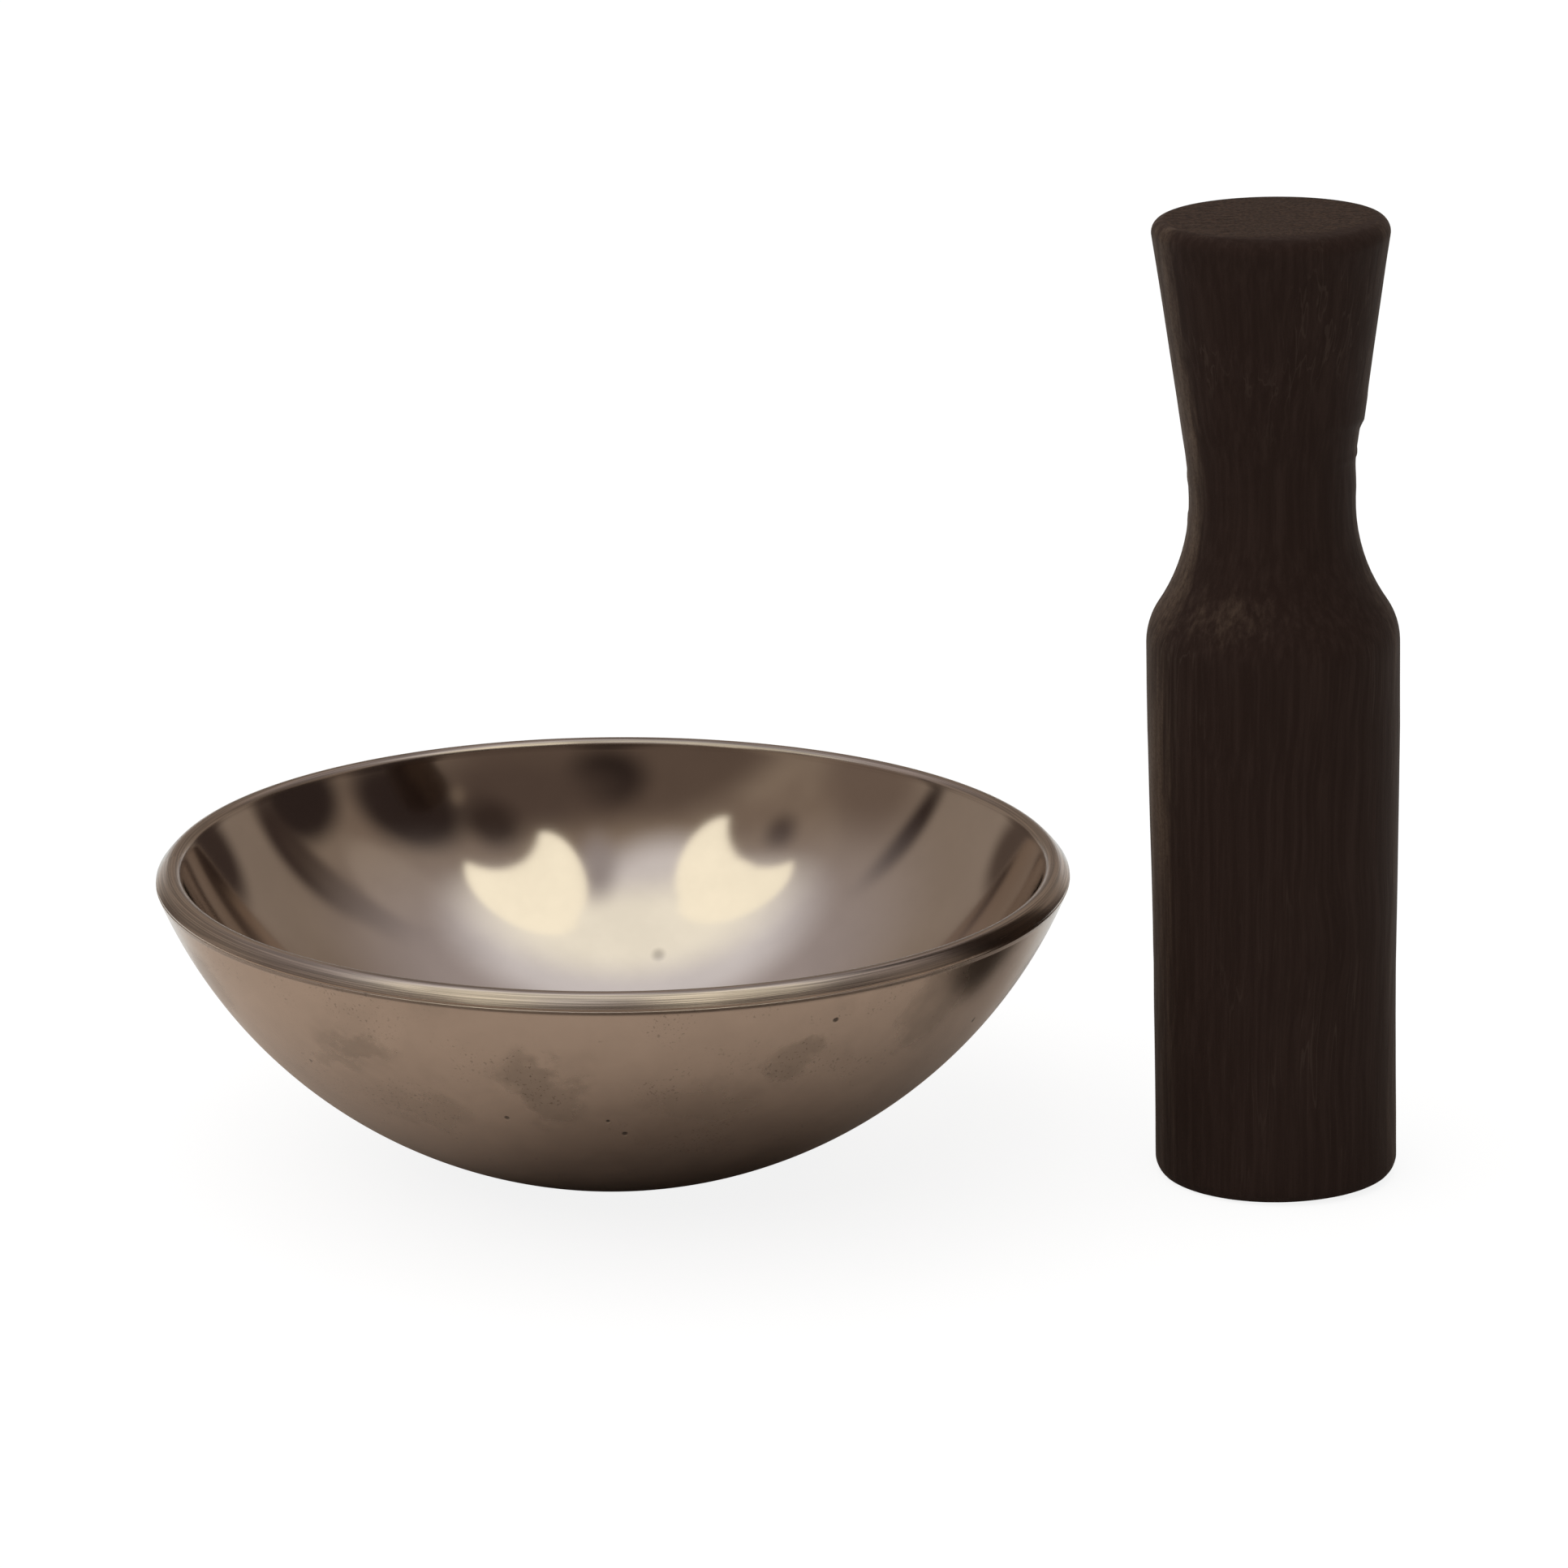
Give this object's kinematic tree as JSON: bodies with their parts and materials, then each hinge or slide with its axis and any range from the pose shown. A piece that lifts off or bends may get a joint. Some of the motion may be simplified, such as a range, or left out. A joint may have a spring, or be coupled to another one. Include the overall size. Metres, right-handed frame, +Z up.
{
  "type": "mortar and pestle",
  "caption": "Round-bottomed polished metal mortar bowl with a dark turned-wood pestle standing beside it.",
  "frame": {"origin": "centre of the bowl's flat base, on the surface that both pieces stand on", "axes": "+Z up; +X from the bowl towards the pestle; -Y is the front, from which the pestle stands on the right"},
  "size_m": [0.2716, 0.2, 0.2122],
  "materials": {
    "bowl_metal": "warm grey-brown bronze, mirror-polished inside and on the rim, satin with handling marks outside",
    "pestle_wood": "very dark brown hardwood, matte, worn lighter on the shoulder, the edges and the end grain of the top"
  },
  "bodies": {
    "bowl": {"bowl": "bowl_metal"},
    "pestle": {"pestle": "pestle_wood"}
  },
  "joints": [
    {"name": "pestle_lift", "type": "slide", "parent": "bowl", "child": "pestle", "axis": [0, 0, 1], "range_m": [0, 0.15]}
  ]
}
